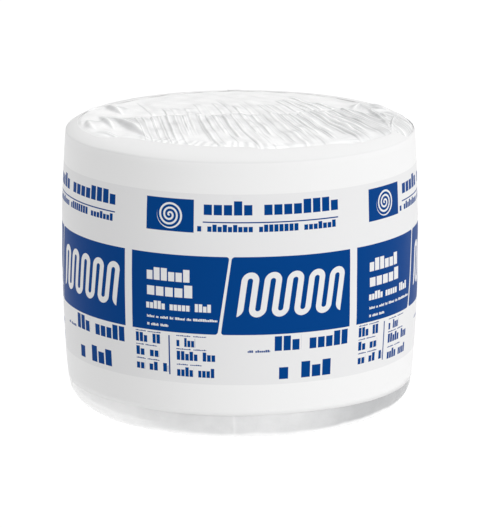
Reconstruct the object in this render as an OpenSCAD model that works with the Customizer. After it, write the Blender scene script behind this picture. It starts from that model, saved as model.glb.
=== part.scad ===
// Roll of glass wool insulation, standing on end, in a clear film bag and a printed film wrap.
// Millimetres. +Z is up the roll's axis. The origin is the middle of the face that it stands on.

/* [Blanket] */
// Width of the blanket, which is the height of the wound roll
blanket_w = 584; // [300:1:1200]
// Length of the blanket that is wound up
blanket_l = 11938; // [6000:1:20000]
// Diameter of the wound blanket at its fullest
roll_d = 717; // [500:1:900]
// Diameter of the winding eye at the middle
eye_d = 36; // [16:1:80]
// Depth of the groove between one turn and the next, on the ends
groove_depth = 4; // [1:0.5:8]
// Width of that groove at the mouth
groove_w = 7; // [3:0.5:12]

/* [Pressed shape] */
// How far the film pulls the side in at the top fold
side_sag_top = 9; // [2:0.5:20]
// How far the film pulls the side in at the foot corner
side_sag_low = 11; // [2:0.5:20]
// Radial width of the pressed corner at the foot
foot_corner_w = 52; // [30:1:130]
// Height of the pressed corner at the foot
foot_corner_h = 50; // [30:1:110]
// Radial width of the shoulder that the wrap folds over
shoulder_w = 58; // [20:1:120]
// Rise of the shoulder from the fold to its inner edge
shoulder_rise = 18; // [8:1:40]
// Slope of the shoulder at the fold: 0 is upright, 90 is flat
fold_slope = 30; // [0:1:60]
// Rise of the end from the shoulder to the middle
crown_rise = 7.5; // [0:0.5:20]

/* [Films] */
// Thickness of the clear bag, with its plies
bag_t = 1; // [0.5:0.1:3]
// Thickness of the gathered film at the middle of the top
gather_t = 7; // [4:0.5:20]
// Thickness of the printed wrap, with its plies
wrap_t = 1; // [0.5:0.1:3]
// Height of the wrap's lower edge
wrap_low = 55; // [30:1:150]
// Gap between one layer and the next
layer_gap = 0.3; // [0.1:0.1:1]

/* [Hidden] */
$fn = 180;
CORNER_STEPS = 14;
SIDE_STEPS = 20;
SHOULDER_STEPS = 12;
CROWN_STEPS = 12;

roll_r = roll_d / 2;
eye_r = eye_d / 2;
// Thickness of one turn as wound: the end's area shared over the blanket's length
turn_t = PI * (roll_r * roll_r - eye_r * eye_r) / blanket_l;

// Heights on the wound blanket, which stands on the bag's floor
foot_z = bag_t + layer_gap;
top_z = foot_z + blanket_w;
ring_z = top_z - crown_rise;
fold_z = ring_z - shoulder_rise;
side_z = foot_z + foot_corner_h;
belly_z = (side_z + fold_z) / 2;

// Radii on the wound blanket
ring_r = roll_r - side_sag_top - shoulder_w;
corner_r = roll_r - side_sag_low - foot_corner_w;

// The side is a barrel: its radius falls off with the square of the distance from the belly
function sag(z) = z > belly_z ? side_sag_top : side_sag_low;
function span(z) = z > belly_z ? fold_z - belly_z : side_z - belly_z;
function side_r(z) = roll_r - sag(z) * pow((z - belly_z) / span(z), 2);
function side_lean(z) = atan(2 * sag(z) * (z - belly_z) / pow(span(z), 2));

// Each outline point is [radius, height, direction of the outward normal in degrees]
function side(low_z) = [
    for (i = [0 : SIDE_STEPS])
        let (z = low_z + (fold_z - low_z) * i / SIDE_STEPS)
        [side_r(z), z, side_lean(z)]
];

// A corner is a stretch of an ellipse that is level at one end and leans by start degrees at the other.
// way is 1 for the shoulder and -1 for the foot.
function corner(inner_r, level_z, w, h, start, steps, way) =
    let (a_w = w / cos(start), a_h = h / (1 - sin(start)))
    [for (i = [0 : steps])
        let (a = start + (90 - start) * i / steps)
        [inner_r + a_w * cos(a), level_z - way * a_h * (1 - sin(a)), way * atan2(sin(a) / a_h, cos(a) / a_w)]];
function foot_corner() = turned_back(
    corner(corner_r, foot_z, foot_corner_w, foot_corner_h, -side_lean(side_z), CORNER_STEPS, -1));
function shoulder() = corner(ring_r, ring_z, shoulder_w, shoulder_rise, fold_slope, SHOULDER_STEPS, 1);

// The crown rises from the shoulder's inner edge to the middle of the end
function crown_z(r) = top_z - crown_rise * pow(r / ring_r, 2);
function crown(inner_r) = [
    for (i = [1 : CROWN_STEPS])
        let (r = ring_r + (inner_r - ring_r) * i / CROWN_STEPS)
        [r, crown_z(r), 90]
];

// An outline moved out by d along its normals
function grown(outline, d) = [for (p = outline) [p[0] + d * cos(p[2]), p[1] + d * sin(p[2])]];
function turned_back(list) = [for (i = [len(list) - 1 : -1 : 0]) list[i]];

// Radii at which one turn meets the next
last_groove_r = min(ring_r, corner_r) - groove_w;
turn_radii = [for (r = eye_r + turn_t; r < last_groove_r; r = r + turn_t) r];

// A V groove round the end, given the end's height at the groove's two lips. way is 1 up and -1 down.
module turn_groove(r, inner_z, outer_z, way) {
    rotate_extrude()
        polygon([[r - groove_w / 2, inner_z + way], [r - groove_w / 2, inner_z],
            [r, (inner_z + outer_z) / 2 - way * groove_depth],
            [r + groove_w / 2, outer_z], [r + groove_w / 2, outer_z + way]]);
}

module wool_roll() {
    outline = concat([[eye_r, foot_z, -90]], foot_corner(), side(side_z), shoulder(), crown(eye_r));
    color("whitesmoke")
        difference() {
            rotate_extrude() polygon(grown(outline, 0));
            for (r = turn_radii) {
                turn_groove(r, foot_z, foot_z, -1);
                turn_groove(r, crown_z(r - groove_w / 2), crown_z(r + groove_w / 2), 1);
            }
        }
}

// The gathered film is thickest at the middle and thins out to one ply at the shoulder
function gather(r) = bag_t + (gather_t - bag_t) * (1 - pow(r / ring_r, 2));
function gathered_top() = [
    for (i = [1 : CROWN_STEPS])
        let (r = ring_r * (1 - i / CROWN_STEPS))
        [r, crown_z(r) + layer_gap + gather(r)]
];

module clear_bag() {
    wall = concat(foot_corner(), side(side_z), shoulder());
    outside = concat([[0, 0]], grown(wall, layer_gap + bag_t), gathered_top());
    inside = grown(concat([[0, foot_z, -90]], wall, crown(0)), layer_gap);
    color("azure", 0.5)
        rotate_extrude() polygon(concat(outside, turned_back(inside)));
}

module printed_wrap() {
    wall = concat(side(wrap_low), shoulder());
    inside = grown(wall, layer_gap + bag_t + layer_gap);
    outside = grown(wall, layer_gap + bag_t + layer_gap + wrap_t);
    color("white")
        rotate_extrude() polygon(concat(outside, turned_back(inside)));
}

wool_roll();
clear_bag();
printed_wrap();
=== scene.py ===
"""A roll of glass wool insulation standing on end, in a clear film bag and a printed film wrap."""

import bmesh
import bpy
import numpy as np
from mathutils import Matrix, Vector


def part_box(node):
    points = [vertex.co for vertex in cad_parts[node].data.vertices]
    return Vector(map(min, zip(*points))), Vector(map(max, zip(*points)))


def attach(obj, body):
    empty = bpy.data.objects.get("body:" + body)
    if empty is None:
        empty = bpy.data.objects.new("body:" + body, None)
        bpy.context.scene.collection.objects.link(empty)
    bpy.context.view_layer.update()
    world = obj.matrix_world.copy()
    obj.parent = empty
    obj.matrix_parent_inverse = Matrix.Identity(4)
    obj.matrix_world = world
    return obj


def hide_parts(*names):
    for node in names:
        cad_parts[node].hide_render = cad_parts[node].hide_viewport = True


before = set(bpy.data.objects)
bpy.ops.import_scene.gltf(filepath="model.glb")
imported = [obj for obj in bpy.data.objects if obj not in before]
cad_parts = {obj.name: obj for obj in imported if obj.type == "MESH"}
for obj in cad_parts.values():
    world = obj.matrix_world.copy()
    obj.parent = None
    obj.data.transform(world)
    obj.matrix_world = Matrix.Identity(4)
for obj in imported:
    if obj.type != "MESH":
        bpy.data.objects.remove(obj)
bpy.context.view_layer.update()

# ---- Camera ----------------------------------------------------------------------------------------
# A long lens, 8 m in front of the roll and a little above it, aimed at about the roll's middle.
camera_distance = 8.0
camera_elevation = np.radians(13.2)
aim_height = 0.278
lens_mm = 268.3
sensor_mm = 36
clip_far = 60

camera_data = bpy.data.cameras.new("camera")
camera_data.lens = lens_mm
camera_data.sensor_width = sensor_mm
camera_data.clip_end = clip_far
camera = bpy.data.objects.new("camera", camera_data)
camera.location = (
    0,
    -camera_distance * np.cos(camera_elevation),
    aim_height + camera_distance * np.sin(camera_elevation),
)
camera.rotation_euler = (np.pi / 2 - camera_elevation, 0, 0)
bpy.context.scene.collection.objects.link(camera)
bpy.context.scene.camera = camera
bpy.context.scene.view_settings.view_transform = "Standard"


# ---- Studio ----------------------------------------------------------------------------------------
# A light table, glowing white, in a dim white room, with a soft key lamp on the right, one straight above,
# and a weak one behind the roll on each side.
class Value:
    """A number or colour that a material works out at each point. Sums on values add Math nodes."""

    def __init__(self, finish, socket):
        self.finish = finish
        self.socket = socket

    def maths(self, operation, *others, clamp=False):
        settings = {"operation": operation, "use_clamp": clamp}
        return self.finish.node("ShaderNodeMath", settings, self, *others)

    def __add__(self, other):
        return self.maths("ADD", other)

    __radd__ = __add__

    def __mul__(self, other):
        return self.maths("MULTIPLY", other)

    __rmul__ = __mul__

    def __sub__(self, other):
        return self.maths("SUBTRACT", other)

    def __rsub__(self, other):
        return self.finish.node("ShaderNodeMath", {"operation": "SUBTRACT"}, other, self)

    def __truediv__(self, other):
        return self.maths("DIVIDE", other)

    def __abs__(self):
        return self.maths("ABSOLUTE")

    def __or__(self, other):
        return self.maths("MAXIMUM", other)

    def __and__(self, other):
        return self.maths("MINIMUM", other)


class Finish:
    """A material in the making. node() adds any node, and seal() links the finished values to its shader."""

    def __init__(self, name):
        self.material = bpy.data.materials.new(name)
        self.material.use_nodes = True
        self.tree = self.material.node_tree
        self.shader = self.tree.nodes["Principled BSDF"]

    def node(self, kind, settings, *inputs, output=0, **named):
        made = self.tree.nodes.new(kind)
        for key, setting in settings.items():
            if key == "stops":
                self.stop(made.color_ramp, setting)
            else:
                setattr(made, key, setting)
        for key, value in [*enumerate(inputs), *named.items()]:
            socket = made.inputs[key.replace("_", " ") if isinstance(key, str) else key]
            self.put(socket, value)
        return Value(self, made.outputs[output])

    def stop(self, ramp, stops):
        ramp.interpolation = "CONSTANT"
        while len(ramp.elements) < len(stops):
            ramp.elements.new(0.5)
        for element, (place, grey) in zip(ramp.elements, stops):
            element.position = place
            element.color = (grey, grey, grey, 1)

    def put(self, socket, value):
        if isinstance(value, Value):
            self.tree.links.new(value.socket, socket)
        else:
            socket.default_value = value

    def blend(self, share, first, second):
        """A colour that goes from first to second as share goes from 0 to 1."""
        settings = {"data_type": "RGBA"}
        made = self.node("ShaderNodeMix", settings, output=2)
        sockets = made.socket.node.inputs
        self.put(sockets[0], share)
        self.put(sockets[6], first)
        self.put(sockets[7], second)
        return made

    def seal(self, **sockets):
        for key, value in sockets.items():
            self.put(self.shader.inputs[key.replace("_", " ")], value)
        return self.material


floor_half = 30.0
floor_z = -0.0005
floor_mesh = bpy.data.meshes.new("floor")
floor_ways = ((-1, -1), (1, -1), (1, 1), (-1, 1))
floor_mesh.from_pydata([(x * floor_half, y * floor_half, floor_z) for x, y in floor_ways], [], [(0, 1, 2, 3)])
floor = bpy.data.objects.new("floor", floor_mesh)
bpy.context.scene.collection.objects.link(floor)
light_table = Finish("light_table").seal(
    Base_Color=(0.04, 0.04, 0.04, 1), Roughness=0.9, Emission_Color=(1, 1, 1, 1), Emission_Strength=0.97
)
floor_mesh.materials.append(light_table)

room = bpy.data.worlds.new("room")
room.use_nodes = True
walls = room.node_tree.nodes["Background"].inputs
walls["Color"].default_value = (1, 1, 1, 1)
walls["Strength"].default_value = 0.30
bpy.context.scene.world = room


def soft_lamp(name, azimuth, elevation, spread, strength):
    """An even lamp far away, at an azimuth from the front and an elevation. spread is how wide it looks."""
    lamp_data = bpy.data.lights.new(name, "SUN")
    lamp_data.angle = np.radians(spread)
    lamp_data.energy = strength
    lamp = bpy.data.objects.new(name, lamp_data)
    lamp.rotation_euler = (np.pi / 2 - np.radians(elevation), 0, np.radians(azimuth))
    bpy.context.scene.collection.objects.link(lamp)


soft_lamp("key_lamp", azimuth=42, elevation=32, spread=30, strength=1.30)
soft_lamp("top_lamp", azimuth=180, elevation=84, spread=60, strength=1.64)
soft_lamp("left_lamp", azimuth=-130, elevation=20, spread=40, strength=0.55)
soft_lamp("right_lamp", azimuth=130, elevation=20, spread=40, strength=0.35)

# ---- Blanket ---------------------------------------------------------------------------------------
# Fluffy white glass wool, wound up tight. Its side and ends are the frame's own turned solid, with the
# turns showing on the ends, and only its finish is made here.
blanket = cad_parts["wool_roll"]
wool = Finish("glass_wool")
place = wool.node("ShaderNodeTexCoord", {}, output=3)
tufts = wool.node("ShaderNodeTexNoise", {}, Vector=place, Scale=55, Detail=8, Roughness=0.7)
fibres = wool.node("ShaderNodeTexNoise", {}, Vector=place, Scale=420, Detail=4, Distortion=2.5)
wool_colour = wool.blend(tufts, (0.74, 0.735, 0.72, 1), (0.95, 0.945, 0.93, 1))
wool_relief = tufts * 0.006 + fibres * 0.0012
wool_bump = wool.node("ShaderNodeBump", {}, Height=wool_relief, Distance=1.0, Strength=0.9)
blanket.data.materials.clear()
blanket.data.materials.append(wool.seal(Base_Color=wool_colour, Roughness=1.0, Normal=wool_bump))

# The wound roll's outline, pulled in a little at both ends, pressed round at the foot and sloping in
# at the shoulder. Every layer of film follows it.
wool_low, wool_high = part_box("wool_roll")
belly_r = wool_high.x
side_sag_top = 0.009
side_sag_low = 0.011
foot_corner_w = 0.052
foot_corner_h = 0.050
shoulder_w = 0.058
shoulder_rise = 0.018
fold_slope = np.radians(30)
crown_rise = 0.0075
ring_z = wool_high.z - crown_rise
fold_z = ring_z - shoulder_rise
side_z = wool_low.z + foot_corner_h
belly_z = (side_z + fold_z) / 2
fold_r = belly_r - side_sag_top
ring_r = fold_r - shoulder_w
corner_r = belly_r - side_sag_low - foot_corner_w
outline_points = 60


def side(z):
    """Radius and lean of the barrel side. The radius falls off with the squared distance from the belly."""
    upper = z > belly_z
    sag = np.where(upper, side_sag_top, side_sag_low)
    span = np.where(upper, fold_z - belly_z, side_z - belly_z)
    return belly_r - sag * ((z - belly_z) / span) ** 2, np.arctan(2 * sag * (z - belly_z) / span**2)


def ellipse_corner(inner_r, level_z, w, h, start, a, way):
    """Radius, height and lean at angle a of a corner w wide and h high. It is a stretch of an ellipse, from
    the angle start at the side to 90 degrees, where it is level. way is 1 at the top and -1 at the foot."""
    a_w, a_h = w / np.cos(start), h / (1 - np.sin(start))
    lean = way * np.arctan2(np.sin(a) / a_h, np.cos(a) / a_w)
    return inner_r + a_w * np.cos(a), level_z - way * a_h * (1 - np.sin(a)), lean


def moved_out(r, z, lean, distance):
    """Radius and height of an outline moved along its outward normal."""
    return r + distance * np.cos(lean), z + distance * np.sin(lean)


def by_radius(base_r, distance, middle, corner):
    """Radius and height of an end moved outwards, looked up by the bare blanket's own radius. The end's
    outline is given as two stretches, its middle and its corner, each as radius, height and lean."""
    r, z, lean = np.concatenate([middle, corner], axis=1)
    out_r, out_z = moved_out(r, z, lean, distance)
    return np.interp(base_r, r, out_r), np.interp(base_r, r, out_z)


def over_top(base_r, distance):
    """Radius and height on the upper end: a dome, then the sloping shoulder."""
    a = np.linspace(np.pi / 2, fold_slope, outline_points)
    shoulder = ellipse_corner(ring_r, ring_z, shoulder_w, shoulder_rise, fold_slope, a, 1)
    dome_r = np.linspace(0, ring_r, 30)[:-1]
    dome_z = wool_high.z - crown_rise * (dome_r / ring_r) ** 2
    return by_radius(base_r, distance, [dome_r, dome_z, np.full(dome_r.shape, np.pi / 2)], shoulder)


def under_foot(base_r, distance):
    """Radius and height on the lower end: flat, then the round corner."""
    start = -side(np.float64(side_z))[1]
    a = np.linspace(np.pi / 2, start, outline_points)
    corner = ellipse_corner(corner_r, wool_low.z, foot_corner_w, foot_corner_h, start, a, -1)
    flat_r = np.linspace(0, corner_r, 10)[:-1]
    flat_z = np.full(flat_r.shape, wool_low.z)
    return by_radius(base_r, distance, [flat_r, flat_z, np.full(flat_r.shape, -np.pi / 2)], corner)


def smooth(x):
    """0 below 0, 1 above 1, and a soft step between."""
    x = np.clip(x, 0, 1)
    return x * x * (3 - 2 * x)


def ripples(x, y, seed, count, shortest, longest):
    """A rolling surface between about -1 and 1: a sum of plane waves whose lengths and ways are drawn."""
    draw = np.random.default_rng(seed)
    lengths = draw.uniform(shortest, longest, count)
    ways = draw.uniform(0, np.pi, count)
    phases = draw.uniform(0, 2 * np.pi, count)
    total = np.zeros(np.broadcast(x, y).shape)
    for length, way, phase in zip(lengths, ways, phases):
        total = total + np.sin(2 * np.pi / length * (x * np.cos(way) + y * np.sin(way)) + phase)
    return total / np.sqrt(count)


def grid_faces(rows, columns, close_rows=False):
    """Quads of a grid whose points are stored row by row. close_rows joins the last row to the first."""
    last = rows if close_rows else rows - 1
    i, j = np.meshgrid(np.arange(last), np.arange(columns - 1), indexing="ij")
    below = (i + 1) % rows
    corners = [i * columns + j, i * columns + j + 1, below * columns + j + 1, below * columns + j]
    return np.stack(corners, axis=-1).reshape(-1, 4)


def build(name, points, faces, merge=None, **marks):
    """A smooth mesh object from arrays of points and quads, with named marks on its points. Points closer
    than merge become one."""
    mesh = bpy.data.meshes.new(name)
    mesh.from_pydata(points.reshape(-1, 3).tolist(), [], faces.tolist())
    for mark, amounts in marks.items():
        layer = mesh.attributes.new(mark, "FLOAT", "POINT")
        layer.data.foreach_set("value", amounts.astype(np.float32).ravel())
    piece = bpy.data.objects.new(name, mesh)
    bpy.context.scene.collection.objects.link(piece)
    if merge is not None:
        shell = bmesh.new()
        shell.from_mesh(mesh)
        bmesh.ops.remove_doubles(shell, verts=shell.verts, dist=merge)
        bmesh.ops.recalc_face_normals(shell, faces=shell.faces)
        shell.to_mesh(mesh)
        shell.free()
    mesh.polygons.foreach_set("use_smooth", np.ones(len(mesh.polygons), bool))
    return piece


# ---- Bag -------------------------------------------------------------------------------------------
# Clear film round the whole roll. Its ends are drawn in and laid flat: on top, a front flap with long
# knife pleats lies over a back flap with short ones, along a cross seam.
film_gap = 0.0013
hem_r = 0.2925


def wrap_edge(azimuth):
    """Radius on the shoulder at which the printed wrap ends, by azimuth in radians, front 0, right positive.
    The hem steps out twice right of the front and once on the left, puckers left of the front, and is cut
    back to the fold line on the far right."""
    a = np.degrees(azimuth)
    right = 0.018 * smooth((a - 3) / 5) + 0.016 * smooth((a - 34) / 12)
    left = 0.034 * smooth((-44 - a) / 16) * smooth((a + 125) / 12)
    pucker = 0.0012 * (np.sin(97 * azimuth) + np.sin(61 * azimuth + 1))
    pucker = pucker * smooth((a + 36) / 6) * smooth((4 - a) / 6)
    edge = hem_r + right * smooth((74 - a) / 8) + left + pucker
    cut = smooth((a - 67) / 5) * smooth((128 - a) / 18)
    return edge + (fold_r - 0.001 - edge) * cut


def pleat_row(seed, first, last, narrow, wide, tallest, most=80):
    """A row of knife pleats drawn between two places: each one's place, width and height."""
    draw = np.random.default_rng(seed)
    steps = first + np.cumsum(draw.uniform(narrow, wide, most))
    at = steps[steps < last]
    width = np.diff(np.append(at, last + narrow)) * draw.uniform(0.8, 1.0, len(at))
    return at, width, tallest * draw.uniform(0.45, 1.0, len(at))


def knife(x, steep=0.14):
    """Section of a knife pleat: a steep rise just before 0, a rounded crest, and a long hollow fall to 1."""
    return np.where(x < 0, smooth(1 + x / steep), np.clip(1 - x, 0, 1) ** 1.4)


# The long pleats of the front flap, the fine ones between them, and the short ones of the back flap.
front_row = pleat_row(3, -0.235, 0.285, 0.012, 0.023, 0.0072)
fine_row = pleat_row(6, -0.20, 0.27, 0.006, 0.012, 0.0034)
back_row = pleat_row(8, -0.20, 0.21, 0.014, 0.030, 0.0050)

# Columns of the bag's grid run along the pleats. Each pleat has one at its toe, one on its crest and, in the
# wider rows, one or two down its fall. Columns closer than the least step are dropped.
least_step = 0.0021
stations = [np.linspace(-1, 1, 100) * np.pi / 2, np.linspace(-1.20, -0.58, 105), np.linspace(0.64, 1.22, 95)]
for (places, widths, _), shares in (
    (front_row, (-0.15, 0.0, 0.16, 0.45)), (fine_row, (-0.15, 0.0)), (back_row, (-0.15, 0.0, 0.3))
):
    for share in shares:
        stations.append(np.arcsin((places + share * widths) / fold_r))
stations = np.sort(np.concatenate(stations))
stations = stations[np.concatenate([[True], np.diff(stations) > least_step])]
stations[-1] = np.pi / 2
columns = len(stations)

# The pleats fan out: each one leans further to the right than the one on its left. On the top, s is a point's
# distance across the pleats and q its distance along them, both from the roll's axis.
share = np.sin(stations)
pleat_turn = np.radians(12.5 + 14 * share + 20 * share**2)
top_rows, corner_rows, foot_rows = 170, 20, 10
s = fold_r * share
half = fold_r * np.cos(stations)
seam_y = -0.028 + 0.083 * smooth((s - 0.06) / 0.15)
seam_q = np.clip((s * np.sin(pleat_turn) - seam_y) / np.cos(pleat_turn), -0.8 * half, 0.8 * half)

# Rows of the top go from the back edge to the seam and on to the front edge, closest together at the edges.
# w is how far along that way a row is.
w = np.linspace(0, 1, top_rows)
back_share = 0.40
u_back = np.clip(w / back_share, 0, 1)[:, None]
u_front = np.clip((w - back_share) / (1 - back_share), 0, 1)[:, None]
ease_back = 1 - np.cos(u_back * np.pi / 2)
ease_front = np.sin(u_front * np.pi / 2)
q = np.where(
    w[:, None] < back_share,
    -half + (seam_q + half) * (0.6 * u_back + 0.4 * ease_back),
    seam_q + (half - seam_q) * (0.6 * u_front + 0.4 * ease_front),
)
s_grid = np.broadcast_to(s, q.shape)
from_seam = q - seam_q

# Each pleat starts near the seam, runs for a length of its own and dies away. relief is its height, crest the
# bright line along its top, partly the extra film of the fold and partly painted highlight, and shade the
# painted shade of the dark line along its toe and the hollow past its crest.
relief, crest, shade = np.zeros(q.shape), np.zeros(q.shape), np.zeros(q.shape)
draw = np.random.default_rng(14)
for (at, width, height), way, reach in ((front_row, 1, 0.30), (fine_row, 1, 0.26), (back_row, -1, 0.17)):
    for p, wide, tall in zip(at, width, height):
        tall = tall * (0.66 + 0.34 * smooth((p - 0.05) / 0.12))
        along = way * from_seam
        start, length = draw.uniform(-0.004, 0.014), reach * draw.uniform(0.5, 1.2)
        run = smooth((along - start) / 0.010) * smooth((start + length - along) / (0.4 * length))
        run = run * (0.75 + 0.25 * np.sin(2 * np.pi * along / draw.uniform(0.05, 0.14) + draw.uniform(0, 6)))
        x = (s_grid - p) / wide
        relief = np.maximum(relief, tall * knife(x) * run)
        strong = smooth(run * 2) * np.minimum(0.30 + 110 * tall, 1) * (1 + 0.4 * smooth((p - 0.02) / 0.08))
        # A painted highlight along each crest, and painted shade along each toe and in each hollow, laid into
        # the plies.
        crest = np.maximum(crest, strong * np.exp(-(((s_grid - p - 0.0005) / 0.0022) ** 2)))
        shade = np.maximum(shade, strong * np.exp(-(((s_grid - p + 0.12 * wide) / 0.0014) ** 2)))
        shade = np.maximum(shade, 0.28 * strong * smooth(x / 0.3) * smooth((0.9 - x) / 0.5))

# No pleat is quite straight.
wander = 0.006 * ripples(s_grid * 0.6, q, seed=31, count=5, shortest=0.16, longest=0.45)
s_grid = s_grid + wander * smooth((half - np.abs(q)) / 0.08)
base_r = np.minimum(np.hypot(s_grid, q), fold_r)
turn = np.arctan2(s_grid, q) + pleat_turn
top_x, top_y = base_r * np.sin(turn), -base_r * np.cos(turn)

# Where the film of the two sides is tucked under the flaps, it lies in larger folds. Each has its start and
# end in metres, its width and height, and how far its middle bends to the left. Its right side is steep.
folds = (
    (-0.280, 0.135, -0.236, 0.015, 0.030, 0.008, 0.003),
    (-0.323, 0.072, -0.282, 0.118, 0.014, 0.004, 0.004),
    (-0.272, 0.020, -0.170, -0.240, 0.042, 0.009, 0.006),
    (-0.208, -0.205, -0.176, -0.240, 0.018, 0.005, 0.002),
    (-0.292, -0.130, -0.228, -0.214, 0.012, 0.003, 0.004),
    (-0.306, -0.015, -0.286, -0.120, 0.030, 0.004, -0.004),
    (-0.286, 0.020, -0.250, -0.120, 0.030, 0.006, 0.003),
    (-0.232, -0.040, -0.205, -0.120, 0.014, 0.006, 0.002),
    (0.226, 0.040, 0.250, 0.160, 0.020, 0.008, -0.003),
    (0.240, 0.160, 0.304, -0.140, 0.014, 0.006, 0.006),
    (0.256, 0.138, 0.306, 0.112, 0.010, 0.006, -0.002),
    (0.258, 0.112, 0.310, 0.078, 0.010, 0.006, -0.002),
    (0.274, 0.040, 0.298, -0.010, 0.012, 0.006, 0.002),
    (0.324, 0.066, 0.301, -0.142, 0.010, 0.006, -0.006),
    (0.190, -0.236, 0.300, -0.150, 0.014, 0.003, -0.020),
)
tuck = smooth((-0.200 - top_x) / 0.03) + smooth((top_x - 0.245) / 0.02)
relief = relief * (1 - 0.6 * tuck)
crest, shade = crest * (1 - 0.5 * tuck), shade * (1 - 0.5 * tuck)
for x0, y0, x1, y1, wide, tall, bend in folds:
    length = np.hypot(x1 - x0, y1 - y0)
    way_x, way_y = (x1 - x0) / length, (y1 - y0) / length
    t = ((top_x - x0) * way_x + (top_y - y0) * way_y) / length
    across = (top_y - y0) * way_x - (top_x - x0) * way_y - 4 * bend * t * (1 - t)
    run = smooth((t + 0.02) / 0.45) * smooth((1.02 - t) / 0.45)
    leaf = wide * (0.25 + 0.75 * run)
    relief = np.maximum(relief, tall * run * knife(across / leaf, 0.40))
    # Each fold also gets a painted highlight along its crest, and painted shade on its steep side and in its
    # hollow.
    run = np.sqrt(run) * min(tall / 0.008, 1)
    crest = np.maximum(crest, run * np.exp(-(((across - 0.001) / 0.0024) ** 2)))
    shade = np.maximum(shade, 0.72 * run * np.exp(-(((across + 0.20 * leaf) / (0.16 * leaf + 0.001)) ** 2)))
    shade = np.maximum(shade, 0.34 * run * smooth(across / (0.4 * leaf)) * smooth((1 - across / leaf) * 2))

# Beside the wrap's edge at the front, short even teeth show where the film is gathered. They are only painted
# highlight and painted shade in the plies, with no relief.
azimuth = (turn + np.pi) % (2 * np.pi) - np.pi
edge_r = wrap_edge(azimuth)
beside = smooth((base_r - edge_r + 0.042) / 0.014)
beside = beside * smooth((azimuth + 0.75) / 0.15) * smooth((0.40 - azimuth) / 0.15)
teeth_round = 104
teeth_drift = 2 * ripples(azimuth, 0, seed=5, count=4, shortest=0.08, longest=0.3)
teeth = np.sin(teeth_round * azimuth + teeth_drift) * beside
crest, shade = np.maximum(crest, 0.8 * teeth), np.maximum(shade, -0.35 * teeth)

# The front flap lies over the back one, and both roll a little. Under the wrap's edge the film lies flat.
inside = smooth((edge_r - base_r - 0.0005) / 0.007)
front_side = smooth(from_seam / 0.0015 + 0.5)
seam_span = smooth((s_grid + 0.235) / 0.03) * smooth((0.245 - s_grid) / 0.03)
relief = relief + front_side * seam_span * 0.0030 * np.exp(-np.clip(from_seam, 0, 1) / 0.06)
rolling = ripples(s_grid, q * 0.5, seed=21, count=12, shortest=0.03, longest=0.09)
relief = relief + 0.0012 * (0.45 + 0.55 * front_side) * rolling + 0.0018
relief = np.maximum(relief * inside, -0.0004)
film_r, film_z = over_top(base_r, film_gap)
swell = 0.004 * smooth(1 - base_r / ring_r)
top = np.stack([film_r * np.sin(turn), -film_r * np.cos(turn), film_z + relief + swell], axis=-1)

# Plies say how much film lies at a point: at 1 it looks white, at 0 grey and a little clearer. Here they also
# carry the crests' extra film and painted highlight and the painted shade of the toes and hollows. The front
# flap has a little less, and the right side is painted darker, as shade, by a patchy amount.
patchy = 0.16 + 0.07 * ripples(top_x, top_y, seed=33, count=9, shortest=0.03, longest=0.10)
thin_and_shaded = 0.09 * front_side + patchy * smooth((top_x - 0.17) / 0.09)
top_ply_and_light = 1.0 + 0.34 * crest - 0.80 * shade - thin_and_shaded

# Round the foot the film is drawn in under the roll. It creases, and its lower part lies in more plies and is
# painted near white, as light from the floor; above that the film is painted darker, as shade.
# round_r turns an azimuth into metres round the roll.
round_r = 0.36
covered_ply, under_ply = 0.6, 0.85
behind, ahead = np.pi - stations + pleat_turn, stations + pleat_turn


def foot_film(azimuth, z):
    """Outward push, and plies with painted light and shade, of the film near the foot, by azimuth in radians
    and height.
    Above the height turn_in the film is painted darker as shade, most on the right. Below it, it lies in more
    plies and is painted near white, as light from the floor. A crescent crease lies on the left, and one
    upright crease at the front, each painted lighter as a highlight."""
    a = np.degrees((azimuth + np.pi) % (2 * np.pi) - np.pi)
    at = round_r * azimuth
    near = smooth((wrap_low_z - 0.004 - z) / 0.010)
    sway = ripples(at, 0 * z, seed=17, count=9, shortest=0.06, longest=0.25)
    turn_in = 0.017 + 0.010 * smooth((a - 15) / 50) + 0.0022 * sway
    low = smooth((turn_in - z) / 0.009)
    # Painted shade: above turn_in the film is painted darker towards the front, and most on the right.
    grey = 1.0 - 0.36 * smooth((a + 55) / 45) - 0.52 * smooth((a - 12) / 40) * smooth((92 - a) / 20)
    crescent = np.exp(-(((z - 0.049 + 0.020 * smooth((a + 78) / 50)) / 0.0022) ** 2))
    crescent = crescent * smooth((a + 82) / 12) * smooth((-26 - a) / 14)
    upright = np.exp(-(((a + 2) / 0.45) ** 2))
    creases = ripples(at, 1.6 * z, seed=12, count=12, shortest=0.03, longest=0.12)
    push = 0.0005 * creases + 0.0007 * low + 0.0016 * crescent + 0.0006 * upright
    # Painted light: below turn_in the film is painted near white, and the two creases are painted lighter as
    # highlights.
    ply = grey + (0.99 - grey) * low + 0.25 * crescent + 0.10 * upright
    return np.clip(push + 0.0008, 0, None) * near, ply


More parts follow.
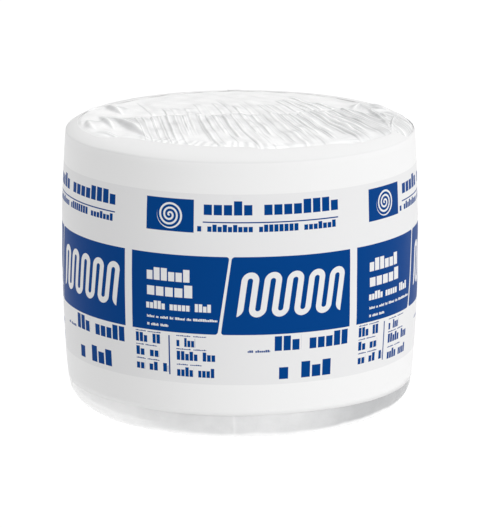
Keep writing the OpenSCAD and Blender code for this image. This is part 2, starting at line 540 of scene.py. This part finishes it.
def down_side(azimuth):
    """The bag from the fold line of the shoulder down to the foot, at each azimuth, and its plies with their
    painted light and shade.
    """
    heights = np.linspace(fold_z, side_z, 6)[1:-1, None] + 0 * azimuth
    radii, leans = side(heights)
    r, z = moved_out(radii, heights, leans, film_gap)
    base = corner_r + foot_corner_w * np.sin(np.linspace(np.pi / 2, 0, corner_rows))[:, None] + 0 * azimuth
    low_r, low_z = under_foot(base, film_gap)
    # The outline a metre further out, less this one, is the way the film is pushed.
    out_r, out_z = under_foot(base, film_gap + 1)
    push, ply = foot_film(azimuth + 0 * base, low_z)
    push = push * smooth((base - corner_r) / 0.01)
    r = np.concatenate([r, low_r + push * (out_r - low_r)])
    z = np.concatenate([z, np.maximum(low_z + push * (out_z - low_z), 0)])
    points = np.stack([r * np.sin(azimuth), -r * np.cos(azimuth), z], axis=-1)
    return points, np.concatenate([np.full(heights.shape, covered_ply), ply])


wrap_low_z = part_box("printed_wrap")[0].z
back_part, back_ply_and_light = down_side(behind)
front_part, front_ply_and_light = down_side(ahead)

foot_w = np.linspace(-1, 1, foot_rows)[1:-1, None]
foot_x = corner_r * np.sin(stations) + 0 * foot_w
foot_q = corner_r * np.cos(stations) * foot_w
foot_turn = np.arctan2(foot_x, foot_q) + pleat_turn
foot_r, foot_z = under_foot(np.hypot(foot_x, foot_q), film_gap)
gather = np.abs(ripples(foot_x, foot_q * 0.3, seed=41, count=10, shortest=0.02, longest=0.07))
gather = 0.0009 * gather * smooth((corner_r - foot_r) / 0.03)
foot = np.stack([foot_r * np.sin(foot_turn), -foot_r * np.cos(foot_turn), foot_z + gather], axis=-1)

bag_points = np.concatenate([top, front_part, foot[::-1], back_part[::-1]])
bag_faces = grid_faces(len(bag_points), columns, close_rows=True)
ply = np.concatenate([top_ply_and_light, front_ply_and_light, np.full(foot_x.shape, under_ply), back_ply_and_light[::-1]])
bag = build("film_bag", bag_points, bag_faces, merge=0.00012, ply=ply)

film = Finish("clear_film")
place = film.node("ShaderNodeTexCoord", {}, output=3)
# The ply mark holds the film's plies together with painted highlight and painted shade, and sets its colour
# and clearness.
plies = film.node("ShaderNodeAttribute", {"attribute_name": "ply"}, output=2)
cloud = film.node("ShaderNodeTexNoise", {}, Vector=place, Scale=22, Detail=4)
cover_and_light = (plies + (cloud - 0.5) * 0.3).maths("ADD", 0.0, clamp=True)
film_colour = film.blend(cover_and_light, (0.50, 0.505, 0.515, 1), (0.99, 0.99, 0.99, 1))
streak_turn = (0, 0, np.radians(11))
pleat_place = film.node(
    "ShaderNodeMapping", {"vector_type": "TEXTURE"}, Vector=place, Rotation=streak_turn, Scale=(1, 9, 1)
)
streaks = film.node("ShaderNodeTexNoise", {}, Vector=pleat_place, Scale=240, Detail=3, Distortion=0.4)
crinkle = film.node("ShaderNodeTexNoise", {}, Vector=place, Scale=70, Detail=5, Distortion=0.6)
film_relief = crinkle * 0.0009 + streaks * 0.0008
film_bump = film.node("ShaderNodeBump", {}, Height=film_relief, Distance=1.0, Strength=0.4)
clear_film = film.seal(
    Base_Color=film_colour,
    Roughness=0.22,
    Specular_IOR_Level=0.08,
    Alpha=0.86 + 0.13 * cover_and_light,
    Normal=film_bump,
)
bag.data.materials.append(clear_film)
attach(bag, "root")
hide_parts("clear_bag")

# ---- Wrap ------------------------------------------------------------------------------------------
# Opaque white film printed in blue. It goes once round the side with a lap seam at the back, ends just
# above the foot, and folds over the shoulder at the top.
wrap_out = 0.0026
wrap_film = 0.0006
lap = np.radians(4.8)
wrap_columns = 481
wrap_azimuth = np.linspace(-np.pi, np.pi + lap, wrap_columns)
lift = 0.0011 * smooth((wrap_azimuth - np.pi + 0.03) / 0.03)

side_steps = np.linspace(0, 1, 46)[:, None]
low_edge = wrap_low_z + 0.0012 * ripples(wrap_azimuth, 0, seed=5, count=6, shortest=0.5, longest=2.2)
heights = low_edge + (fold_z - low_edge) * side_steps
radii, leans = side(heights)
slack = ripples(wrap_azimuth * round_r, heights, seed=9, count=9, shortest=0.08, longest=0.35)
side_part = moved_out(radii, heights, leans, wrap_out + lift + 0.0005 * slack)

shoulder_steps = np.linspace(0, 1, 25)[1:, None]
edge = wrap_edge((wrap_azimuth + np.pi) % (2 * np.pi) - np.pi)
shoulder_a_w = shoulder_w / np.cos(fold_slope)
last_angle = np.arccos(np.clip((edge - ring_r) / shoulder_a_w, 0, np.cos(fold_slope)))
angles = fold_slope + (last_angle - fold_slope) * shoulder_steps
shoulder = ellipse_corner(ring_r, ring_z, shoulder_w, shoulder_rise, fold_slope, angles, 1)
shoulder_part = moved_out(*shoulder, wrap_out + lift)
wrap_r = np.concatenate([side_part[0], shoulder_part[0]])
wrap_z = np.concatenate([side_part[1], shoulder_part[1]])
wrap_points = np.stack([wrap_r * np.sin(wrap_azimuth), -wrap_r * np.cos(wrap_azimuth), wrap_z], axis=-1)
wrap = build("film_wrap", wrap_points, grid_faces(len(wrap_points), wrap_columns))

# The wrap laid flat, for its finish to be baked on: cut into four strips, two beside two, each with a margin.
strips = 4
margin = 0.01
quads_across = (wrap_columns - 1) // strips
profile = np.diff(np.stack([wrap_r[:, 0], wrap_z[:, 0]]), axis=1)
up_share = np.concatenate([[0], np.cumsum(np.hypot(*profile))])
up_share /= up_share[-1]
row_at, column_at = np.meshgrid(np.arange(len(up_share) - 1), np.arange(wrap_columns - 1), indexing="ij")
strip = column_at // quads_across
places = []
for right_by, up_by in ((0, 0), (1, 0), (1, 1), (0, 1)):
    across = (column_at - strip * quads_across + right_by) / quads_across
    up = up_share[row_at + up_by]
    flat_x = (strip % 2 + margin + (1 - 2 * margin) * across) / 2
    flat_y = (strip // 2 + margin + (1 - 2 * margin) * up) / 2
    places.append(np.stack([flat_x, flat_y], axis=-1))
flat_map = wrap.data.uv_layers.new(name="OFBake")
flat_map.data.foreach_set("uv", np.stack(places, axis=2).astype(np.float32).ravel())

thickness = wrap.modifiers.new("thickness", "SOLIDIFY")
thickness.thickness = wrap_film
thickness.offset = -1

# The print is laid out in metres. u goes round the roll, starts again at each repeat and grows to the right,
# and z is the height above the floor.
printed_r = 0.361
repeat = 0.475
repeat_start = 0.2262
printed = Finish("printed_film")
place = printed.node("ShaderNodeTexCoord", {}, output=3)
axes = printed.node("ShaderNodeSeparateXYZ", {}, place).socket.node.outputs
x, y, z = [Value(printed, axis) for axis in axes]
along = printed.node("ShaderNodeMath", {"operation": "ARCTAN2"}, x, -1 * y) * printed_r
u = printed.node("ShaderNodeMath", {"operation": "FLOORED_MODULO"}, along + repeat_start, repeat)


def step(value, soften=0.0004):
    """1 where value is above 0 and 0 where it is below, with an edge as sharp as good print."""
    return (value / soften + 0.5).maths("ADD", 0.0, clamp=True)


def panel(left, right, low, high, left_slant, right_slant, corner=0.006):
    """A printed panel, left and right given at mid height. Only a slanting side has round corners."""
    middle_z = (low + high) / 2
    lean = (z - middle_z) * (1 / (high - low))
    in_z = (high - low) / 2 - abs(z - middle_z)
    in_left, in_right = u - left - lean * left_slant, right + lean * right_slant - u
    slanting, upright = (in_left, in_right) if left_slant else (in_right, in_left)
    short_u, short_z = (corner - slanting) | 0.0, (corner - in_z) | 0.0
    rounded = corner - (short_u * short_u + short_z * short_z).maths("SQRT")
    return step(rounded & upright)


def bar(low, high, left, right):
    """A plain bar."""
    in_z = (high - low) / 2 - abs(z - (low + high) / 2)
    in_u = (right - left) / 2 - abs(u - (left + right) / 2)
    return step(in_z & in_u)


def row(low, high, left, right, *words):
    """A row of blocks in place of print. words tells how many blocks there are to each. About half of them,
    drawn by their place and the row's height, are less tall."""
    short_by, half_block = 0.27, 0.41
    pitch = (right - left) / (sum(words) + len(words) - 1)
    stops, start = [(0, 0)], left
    for count in words:
        stops += [(start / repeat, 1), ((start + count * pitch) / repeat, 0)]
        start += (count + 1) * pitch
    shown = printed.node("ShaderNodeValToRGB", {"stops": stops}, u / repeat)
    places = (u - left) / pitch
    number = places.maths("FLOOR") + 1000 * low
    lot = printed.node("ShaderNodeTexWhiteNoise", {"noise_dimensions": "1D"}, W=number)
    top = high - lot.maths("GREATER_THAN", 0.45) * (short_by * (high - low))
    in_block = (half_block - abs(places.maths("FRACT") - 0.5)) * pitch
    return shown * step((z - low) & (top - z) & in_block)


def together(marks):
    """All of the marks in one."""
    total = marks[0]
    for mark in marks[1:]:
        total = total | mark
    return total


panel_low, panel_high = 0.220, 0.376
narrow_panel = panel(0.000, 0.194, panel_low, panel_high, left_slant=0, right_slant=0.0235)
wide_panel = panel(0.1996, 0.4575, panel_low, panel_high, left_slant=0.022, right_slant=0)

# In the wide panel, the wave that stands for insulation on a drawing: upright strokes, joined by half rings
# at the top and the bottom in turn.
wave_bold, wave_step, wave_rise, wave_slant = 0.0060, 0.0225, 0.0276, 0.14
wave_middle_u, wave_middle_z = 0.3325, 0.3005
wave_z = z - wave_middle_z
wave_u = u - wave_middle_u - wave_z * wave_slant
far_arcs = []
for shift, past in ((0.5, (wave_z - wave_rise) | 0.0), (0.0, (wave_z + wave_rise) & 0.0)):
    arc_u = ((wave_u / (2 * wave_step) + shift).maths("FRACT") - 0.5) * (2 * wave_step)
    far_arcs.append(abs((arc_u * arc_u + past * past).maths("SQRT") - wave_step / 2))
upper = wave_z.maths("GREATER_THAN", 0.0)
wave_far = far_arcs[1] + (far_arcs[0] - far_arcs[1]) * upper
wave = step((wave_bold - wave_far) & (4.5 * wave_step + wave_bold - abs(wave_u)))

# In the sign above, a roll's end: a line that winds out from the middle by one pitch a turn.
coil_pitch, coil_r, coil_gap = 0.0088, 0.0272, 0.55
coil_u, coil_z = u - 0.0845, z - 0.4545
coil_far = (coil_u * coil_u + coil_z * coil_z).maths("SQRT")
coil_turn = printed.node("ShaderNodeMath", {"operation": "ARCTAN2"}, coil_z, coil_u) * (1 / (2 * np.pi))
coil_line = (coil_far / coil_pitch + coil_turn).maths("FRACT") - coil_gap
coil = step(coil_line * coil_pitch) * step(coil_r - coil_far)

# The marks, each from its low and high edge, its left and right end and, in a row, the blocks in its words.
# White ones lie on the panels, and blue ones on the bare film.
white = together([
    wave,
    row(0.322, 0.347, 0.034, 0.128, 6),
    row(0.291, 0.316, 0.034, 0.134, 5),
    row(0.264, 0.280, 0.033, 0.170, 5, 5, 4),
    row(0.2455, 0.2505, 0.034, 0.180, 5, 2, 5, 2, 6, 3, 14),
    row(0.2295, 0.2345, 0.034, 0.080, 2, 5, 5),
])
blue = together([
    bar(0.422, 0.487, 0.034, 0.135) * (1 - coil),
    row(0.458, 0.486, 0.153, 0.431, 5, 8),
    bar(0.4425, 0.4450, 0.153, 0.429),
    row(0.4250, 0.4395, 0.141, 0.424, 1, 9, 8, 7),
    row(0.186, 0.216, 0.293, 0.455, 3, 5),
    row(0.1840, 0.1890, 0.240, 0.284, 3, 7),
    row(0.128, 0.161, 0.302, 0.417, 1, 3),
    bar(0.133, 0.213, 0.0815, 0.0845),
    row(0.193, 0.212, 0.006, 0.064, 3, 2),
    row(0.1655, 0.1835, 0.006, 0.060, 2, 2),
    row(0.1375, 0.1550, 0.006, 0.078, 2, 2, 1),
    row(0.192, 0.210, 0.098, 0.136, 1, 3),
    row(0.1645, 0.1830, 0.098, 0.178, 5, 3),
    row(0.1315, 0.1505, 0.098, 0.176, 4, 4),
    row(0.2145, 0.2170, 0.006, 0.064, 7, 8),
    row(0.2130, 0.2155, 0.098, 0.158, 8, 7),
    row(0.1865, 0.1890, 0.006, 0.054, 5, 7),
    row(0.1860, 0.1885, 0.098, 0.158, 8, 7),
    row(0.1580, 0.1605, 0.006, 0.060, 6, 7),
    row(0.1545, 0.1570, 0.098, 0.150, 6, 6),
])
ink = (narrow_panel | wide_panel) * (1 - white) | blue

# The film's white is a little darker in the printed band. Over the shoulder it is painted darker, as shade
# that dims the shoulder where it faces up to the lamps.
band_low, band_high = 0.118, 0.499
ink_blue = (0.0, 0.050, 0.232, 1)
side_white, shaded_shoulder_white, band_white = (0.86, 0.86, 0.86, 1), (0.78, 0.78, 0.78, 1), (0.79, 0.79, 0.795, 1)
bare = printed.blend(step(z - fold_z, 0.003), side_white, shaded_shoulder_white)
paper = printed.blend(step(z - band_low) * step(band_high - z), bare, band_white)
colour = printed.blend(ink, paper, ink_blue)
wrap.data.materials.append(printed.seal(Base_Color=colour, Roughness=0.4, Specular_IOR_Level=0.03))
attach(wrap, "root")
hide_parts("printed_wrap")
